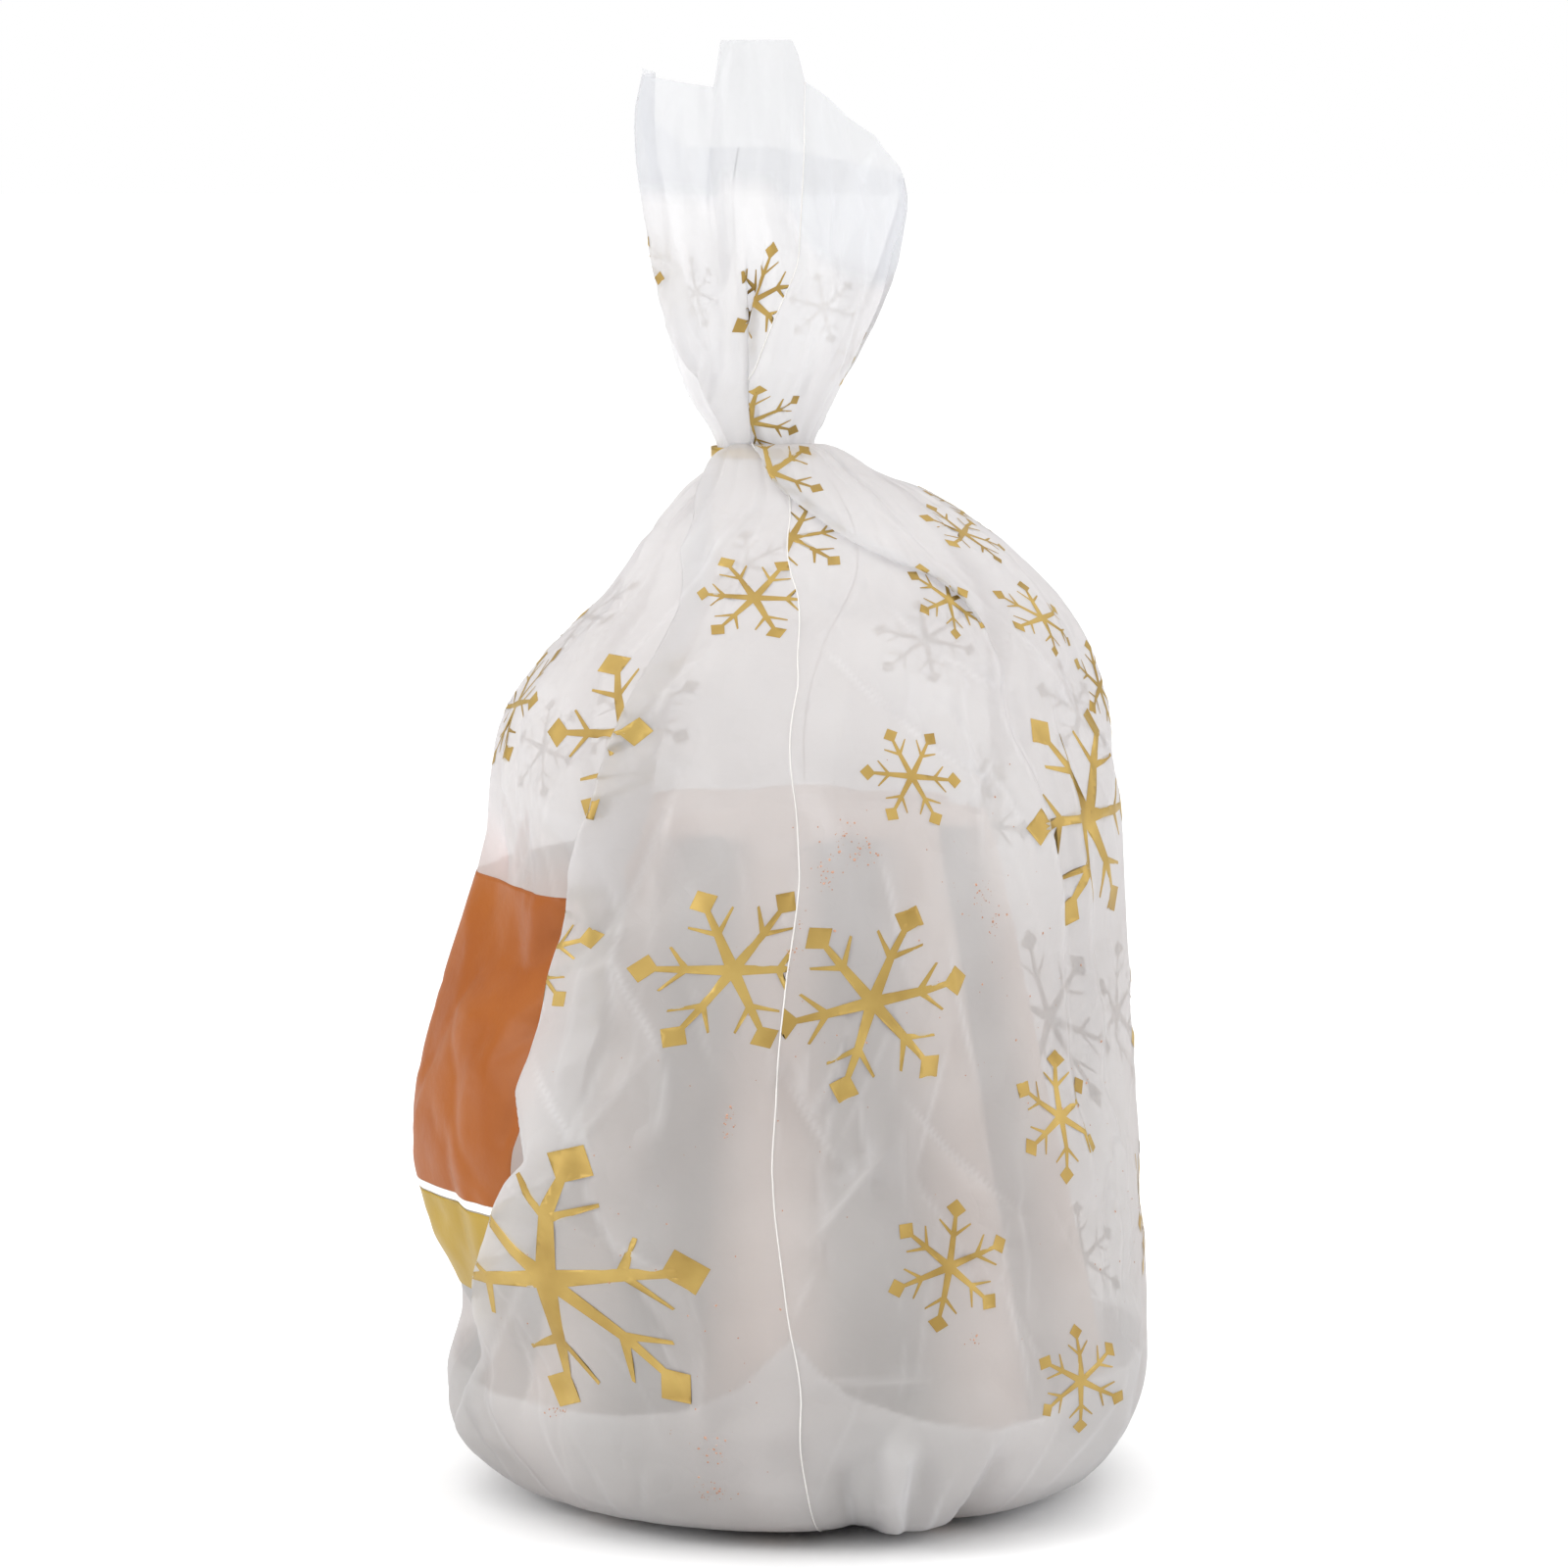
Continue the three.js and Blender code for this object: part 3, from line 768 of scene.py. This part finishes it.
# Where the white print stops below the mouth (angle, height), and the gusset's welded rim.
CLEAR_EDGE = ((-180, 386), (-104, 393), (-54, 395), (-14, 392), (11, 378), (46, 373), (106, 381), (180, 386))
GUSSET_RIM = (
    (-180, 67), (-150, 47), (-120, 41), (-90, 39), (-60, 41), (-29, 43), (-20, 46), (-10, 54), (0, 69), (3, 60),
    (7.6, 52), (19, 44), (30, 40), (41, 40), (51, 50), (65, 52), (90, 45), (140, 45), (165, 53), (180, 67),
)



def film_panel(name, first):
    """Half of the bag's film, from the side weld at the angle first round to the other."""

    def angle_of(u):
        return first + u * 180

    return grid_piece(name, COLS // 2, ROWS, lambda u, v: on_film(angle_of(u), v), FILM)


def panel_marks(panel, first):
    """Where the film is clear, where the gusset backs it, and where it is creased."""
    up, across = np.meshgrid(np.arange(ROWS + 1), np.arange(COLS // 2 + 1), indexing="ij")
    angle = first + across.ravel() / (COLS // 2) * 180
    share = up.ravel() / ROWS
    height = np.interp(share, SHARES, row_height)
    paint(panel, "clear_band", ease(height - along(angle, CLEAR_EDGE), -4, 4))
    paint(panel, "double_ply", 1 - ease(height - along(angle, GUSSET_RIM), -0.6, 0.6))
    columns = np.round((first + 180) / 360 * COLS + across.ravel()).astype(int) % COLS
    paint(panel, "crease_line", crease_mark[up.ravel(), columns])


front_film = film_panel("front_film", -180)
back_film = film_panel("back_film", 0)
panel_marks(front_film, -180)
panel_marks(back_film, 0)


# ---------------------------------------------------------------- prints


def snowflake(span, turn):
    """Outlines of a six-armed snowflake: tapered bars, a pair of twigs on each and a square tip."""
    reach = span / 2
    outlines = []
    for arm in range(6):
        spin = math.radians(turn + 60 * arm)
        parts = [
            ((-0.02, -0.062), (0.82, -0.026), (0.82, 0.026), (-0.02, 0.062)),
            ((0.71, 0), (0.85, -0.155), (1.0, 0.0), (0.86, 0.155)),
        ]
        for side in (-1, 1):
            parts.append(((0.42, 0.01 * side), (0.5, 0.01 * side), (0.68, 0.235 * side), (0.655, 0.245 * side)))
        for part in parts:
            outlines.append(
                [
                    (
                        reach * (x * math.cos(spin) - y * math.sin(spin)),
                        reach * (x * math.sin(spin) + y * math.cos(spin)),
                    )
                    for x, y in part
                ]
            )
    return outlines


def print_on_film(bm, outlines, angle, height, proud=0.16, mesh_step=1.2):
    """Lays flat outlines (mm) on the film round a place on it, true to size along and across."""
    corners, faces = [], []
    for outline in outlines:
        area = sum(a[0] * b[1] - b[0] * a[1] for a, b in zip(outline, outline[1:] + outline[:1]))
        outline = outline if area > 0 else outline[::-1]
        faces.append(list(range(len(corners), len(corners) + len(outline))))
        corners += [Vector(p) for p in outline]
    low = np.min([c[:] for c in corners], axis=0)
    high = np.max([c[:] for c in corners], axis=0)
    for x in np.arange(low[0], high[0], mesh_step):
        for y in np.arange(low[1], high[1], mesh_step):
            corners.append(Vector((x, y)))
    flat, _, cut, *_ = delaunay_2d_cdt(corners, [], faces, 1, 1e-4)
    flat = np.array([p[:] for p in flat])
    share = share_at(height) + flat[:, 1] / FILM_LENGTH
    # above the tie the gathered film takes up part of the print's width
    wide = 0.85 if height > NECK else 1.0
    around = angle + np.degrees(flat[:, 0] * wide / np.interp(share, SHARES, row_radius))
    # each panel is printed by itself, so a print stops at the side welds
    first = 180 * math.floor(angle / 180)
    beyond = (around < first) | (around > first + 180)
    places = on_film(np.clip(around, first, first + 180), share, proud)
    used = {}
    for face in cut:
        if beyond[list(face)].all():
            continue
        for i in face:
            if i not in used:
                used[i] = bm.verts.new(places[i])
        bm.faces.new([used[i] for i in face])


# Snowflakes: angle round the film, height on it, span from tip to tip, turn. The later rows are on the far side.
SNOWFLAKES = (
    (-13, 363, 33, 30), (14, 329, 26, 45), (8, 311.5, 26, 30), (1, 296.5, 31, 15), (-9, 280, 32, -3),
    (40, 278, 30, 12), (-39.5, 241, 58, 4), (20.5, 230, 31, -8), (64, 213, 72, 0), (-8.3, 176, 52, 0),
    (14, 166, 60, 12), (-40.5, 177, 44, 20), (49, 127, 40, 24), (-32.2, 83.5, 88, 8), (25, 88.5, 39, 18),
    (48, 49.5, 34, 30), (-77, 371, 28, 0), (-77, 244, 42, 10), (86, 248, 34, 20), (71, 271, 30, 10),
    (76, 296, 26, 20),
    (95, 145, 46, 14), (88, 87, 44, 4), (112, 235, 40, 22), (122, 135, 60, 10), (122, 57, 38, 18),
    (142, 195, 48, 2), (150, 95, 78, 24), (160, 255, 34, 12), (172, 145, 44, 8), (-176, 65, 36, 20),
    (-165, 176, 56, 16), (-158, 125, 60, 4), (-150, 280, 32, 18), (-148, 230, 40, 26), (-120, 50, 36, 12),
    (-100, 267, 34, 10), (-113, 224, 34, 20), (110, 301, 26, 5), (140, 365, 28, 12), (-140, 370, 28, 22),
    (80, 350, 24, 8),
)
gold_bm = bmesh.new()
for angle, height, span, turn in SNOWFLAKES:
    print_on_film(gold_bm, snowflake(span, turn), angle, height)
snowflakes = piece_from("gold_snowflakes", gold_bm, GOLD)


def label_band(name, corners, material):
    bm = bmesh.new()
    print_on_film(bm, [corners], -90, 145)
    return piece_from(name, bm, material)


orange_panel = label_band("orange_label_ink", [(-74, -46), (74, -46), (74, 48), (-74, 48)], ORANGE)
white_line = label_band("white_label_line", [(-74, -48.6), (74, -48.6), (74, -46), (-74, -46)], PALE)
ochre_panel = label_band("ochre_label_ink", [(-66, -78), (66, -78), (74, -48.6), (-74, -48.6)], OCHRE)


# ---------------------------------------------------------------- cake

LOAF_X = -1 + MIDDLE
LOAF_PROFILE = smooth_stations(
    ((0, 2.6), (50, 2.7), (76, 3), (85, 9), (98, 25), (96, 48), (64, 195), (59, 207), (50, 211), (25, 211.4), (0, 211.4)), 200
)


def loaf_ridge(u):
    """1 along the star's eight points, 0 down its valleys."""
    return np.abs(np.cos(4 * (u * 2 * math.pi - math.radians(-95)))) ** 1.2


def loaf_shape(u, v):
    turn = u * 2 * math.pi
    radius, z = (np.interp(v, np.linspace(0, 1, 200), column) for column in LOAF_PROFILE.T)
    ridge = loaf_ridge(u)
    star = radius * (0.79 + 0.2 * ridge)
    x, y = LOAF_X + star * np.cos(turn), star * np.sin(turn)
    lump = np.array([noise.fractal(Vector(p) / 22, 0.9, 2.0, 4) for p in zip(x, y, z)])
    grow = 1 + np.clip(lump, -1, 1) * 0.012
    return np.stack([(x - LOAF_X) * grow + LOAF_X, y * grow, z], axis=-1) * MM


loaf = grid_piece("pandoro_cake", 240, 110, loaf_shape, CRUST)
loaf_top = np.repeat(np.interp(np.linspace(0, 1, 111), np.linspace(0, 1, 200), LOAF_PROFILE[:, 1]) > 208, 241)
# ridge: 1 on the points and the top, 0 down the valleys, where the crust's painted shade goes
paint(loaf, "ridge", np.maximum(loaf_ridge(np.tile(np.linspace(0, 1, 241), 111)), loaf_top))
welded(loaf)

# ---------------------------------------------------------------- gusset


def gusset_shape(u, v):
    """From its rim (v = 0) down the inside of the panels, then over the floor to the middle (v = 1)."""
    angle = -180 + u * 360
    rim = share_at(along(angle, GUSSET_RIM))
    wall = np.clip(v / 0.45, 0, 1)
    share = rim * (1 - wall)
    places = on_film(angle, share, -0.9)
    inward = np.clip((v - 0.45) / 0.55, 0, 1)
    middle = np.array([row_middle[0], 0, 1.4]) * MM
    places = places + (middle - places) * inward[:, None]
    places[:, 2] = np.maximum(places[:, 2], 0.0009)
    return places


gusset = grid_piece("gusset_film", 360, 60, gusset_shape, FILM)
paint(gusset, "clear_band", np.zeros(len(gusset.data.vertices)))
paint(gusset, "double_ply", np.ones(len(gusset.data.vertices)))
paint(gusset, "crease_line", np.zeros(len(gusset.data.vertices)))


# ---------------------------------------------------------------- welds, tie, sachet, crumbs


WELD_WIDTH = 0.5


def side_weld(name, angle):
    """The fused edge of the two panels, a fine bead down the whole bag."""

    def shape(u, v):
        bead = np.sin(u * math.pi) ** 0.7
        places = on_film(np.full_like(u, angle), v, 0.05 + 0.3 * bead)
        beside = sample(ring_step, np.full_like(u, angle), v)
        beside /= np.linalg.norm(beside, axis=-1, keepdims=True)
        return places + beside * ((u - 0.5) * WELD_WIDTH * MM)[:, None]

    return grid_piece(name, 4, ROWS, shape, WELD)


near_weld = side_weld("near_side_weld", 0.0)
far_weld = side_weld("far_side_weld", -180.0)

TIE_WIDTH = 3.2
tie_row = int(round(share_at(319.5) * ROWS))


def tie_hoop(u, v):
    turn = u * 2 * math.pi
    half = (row_right[tie_row] - row_left[tie_row]) / 2 + 0.3
    x = row_middle[tie_row] + half * np.sin(turn)
    y = -(row_depth[tie_row] + 0.3) * np.cos(turn)
    z = row_height[tie_row] + (v - 0.5) * TIE_WIDTH
    return np.stack([x, y, z], axis=-1) * MM


def tie_tail(u, v):
    """The tie's two ends twisted together and pointing away from the bag."""
    twist = v * 3.5 * math.pi
    across = (u - 0.5) * TIE_WIDTH
    x = row_middle[tie_row] + across * np.cos(twist)
    y = row_depth[tie_row] + 26 * v
    z = row_height[tie_row] + across * np.sin(twist) - 4 * v**2
    return np.stack([x, y, z], axis=-1) * MM


hoop = grid_piece("tie_hoop", 96, 3, tie_hoop, RIBBON)
welded(hoop)
thickened(hoop, 0.0007)
tail = thickened(grid_piece("tie_tail", 4, 60, tie_tail, RIBBON), 0.0009)

SACHET_LOW, SACHET_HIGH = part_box("sugar_sachet")


def sachet_side(sign):
    """One face of the sachet: a pillow with flat sealed edges, a little limp."""
    middle = (SACHET_LOW + SACHET_HIGH) / 2
    wide, tall = (SACHET_HIGH.y - SACHET_LOW.y) * 0.86, SACHET_HIGH.z - SACHET_LOW.z

    def shape(u, v):
        inside = np.clip(1.12 - np.abs(2 * u - 1) * 1.2, 0, 1) ** 0.5 * np.clip(1.12 - np.abs(2 * v - 1) * 1.15, 0, 1) ** 0.5
        swell = sign * 0.0032 * inside + 0.0006 * np.sin(u * 19 + v * 7)
        lean = (v - 0.5) * tall * math.tan(math.radians(4))
        return np.stack([middle.x + 0.0015 + lean - swell, middle.y - (u - 0.5) * wide, middle.z + (v - 0.5) * tall], axis=-1)

    return shape


sachet = grid_piece("sugar_sachet_paper", 44, 56, sachet_side(1), PAPER)
bm = bmesh.new()
bm.from_mesh(sachet.data)
back_face = grid_piece("sachet_back", 44, 56, sachet_side(-1), PAPER)
bm.from_mesh(back_face.data)
bpy.data.objects.remove(back_face)
bmesh.ops.remove_doubles(bm, verts=bm.verts, dist=2e-5)
bmesh.ops.recalc_face_normals(bm, faces=bm.faces)
bm.to_mesh(sachet.data)
bm.free()

# Crumbs held against the inside of the film: angle, height, spread round and along (mm), how many.
CRUMBS = (
    (9, 211, 7, 7, 60), (4, 202, 4, 6, 30), (0.5, 181, 2, 9, 22), (33, 195, 4, 5, 26), (36, 188, 2, 7, 14),
    (-6, 133, 1.6, 6, 18), (-41, 41, 5, 2, 18), (-15, 36, 5, 5, 20), (-17, 21, 8, 4, 36), (29, 67, 3, 2, 8),
    (80, 50, 3, 6, 20), (24, 175, 60, 60, 60), (-20, 95, 60, 60, 60), (60, 115, 50, 70, 50), (140, 125, 80, 90, 90),
    (-140, 125, 80, 90, 90),
)
rng = random.Random(4)
crumb_bm = bmesh.new()
for angle, height, round_by, along_by, count in CRUMBS:
    for _ in range(count):
        size = min(rng.lognormvariate(-0.75, 0.45), 1.0)
        share = share_at(height) + rng.gauss(0, along_by * 0.5) / FILM_LENGTH
        place = angle + math.degrees(rng.gauss(0, round_by * 0.5) / 105)
        if not 0.01 < share < share_at(300):
            continue
        at = Vector(on_film(place, share, -0.15 * size))
        stretch = Matrix.Diagonal((size, rng.uniform(0.6, 1.0) * size, rng.uniform(0.6, 1.3) * size, 1.0))
        turn = Matrix.Rotation(rng.uniform(0, math.pi), 4, "Y")
        bmesh.ops.create_icosphere(crumb_bm, subdivisions=1, radius=0.5 * MM, matrix=Matrix.Translation(at) @ turn @ stretch)
crumbs = piece_from("loose_crumbs", crumb_bm, CRUMB, smooth=False)


# ---------------------------------------------------------------- studio

floor_bm = bmesh.new()
bmesh.ops.create_grid(floor_bm, x_segments=8, y_segments=8, size=40)
floor = piece_from("studio_floor", floor_bm, floor_finish())

world = bpy.data.worlds.new("studio white")
bpy.context.scene.world = world
world.use_nodes = True
sky = world.node_tree
sky.nodes.clear()
up = add(sky, "SeparateXYZ", {}, {"Vector": add(sky, "TexCoord").outputs["Generated"]})
ceiling = add(sky, "MapRange", {"From Min": 0.15, "To Min": 0.27, "To Max": 2.1}, {"Value": up.outputs["Z"]})
lit = add(sky, "Background", {"Color": linear("#FFFFFF")}, {"Strength": ceiling.outputs[0]})
seen = add(sky, "Background", {"Color": linear("#FFFFFF"), "Strength": 1.0})
path = add(sky, "LightPath").outputs["Is Camera Ray"]
both = add(sky, "MixShader", {}, {0: path, 1: lit.outputs[0], 2: seen.outputs[0]})
add(sky, "OutputWorld", {}, {"Surface": both.outputs[0]})
bpy.context.scene.view_settings.view_transform = "Standard"


def aim(thing, place, target):
    thing.location = place
    thing.rotation_euler = (Vector(target) - Vector(place)).to_track_quat("-Z", "Y").to_euler()


def soft_light(name, place, size, watts):
    lamp = bpy.data.lights.new(name, "AREA")
    lamp.shape = "SQUARE"
    lamp.size = size
    lamp.energy = watts
    thing = bpy.data.objects.new(name, lamp)
    bpy.context.scene.collection.objects.link(thing)
    aim(thing, place, (0, 0, 0.2))


soft_light("key light, left", (-1.35, -0.75, 0.75), 0.9, 15)
soft_light("fill light, right", (1.45, -0.45, 0.7), 0.9, 10)

CAMERA_DISTANCE = 1.6
CAMERA_RISE = math.radians(7)
CAMERA_TARGET = Vector((0.0013, 0, 0.2175))
lens = bpy.data.cameras.new("camera")
lens.lens = 120
camera = bpy.data.objects.new("camera", lens)
bpy.context.scene.collection.objects.link(camera)
aim(
    camera,
    CAMERA_TARGET + CAMERA_DISTANCE * Vector((0, -math.cos(CAMERA_RISE), math.sin(CAMERA_RISE))),
    CAMERA_TARGET,
)
bpy.context.scene.camera = camera

# ---------------------------------------------------------------- frame

for piece, slot in (
    (front_film, "printed_film"),
    (back_film, "printed_film"),
    (snowflakes, "gold_ink"),
    (orange_panel, "orange_ink"),
    (white_line, "printed_film"),
    (ochre_panel, "gold_ink"),
    (gusset, "gusset_film"),
    (loaf, "baked_crust"),
    (crumbs, "baked_crust"),
    (near_weld, "printed_film"),
    (far_weld, "printed_film"),
    (hoop, "tie_ribbon"),
    (tail, "tie_ribbon"),
    (sachet, "sachet_paper"),
):
    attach(piece, "root")
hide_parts("front_panel")
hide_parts("back_panel")
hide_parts("bottom_gusset")
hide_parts("pandoro_loaf")
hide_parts("twist_tie")
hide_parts("sugar_sachet")
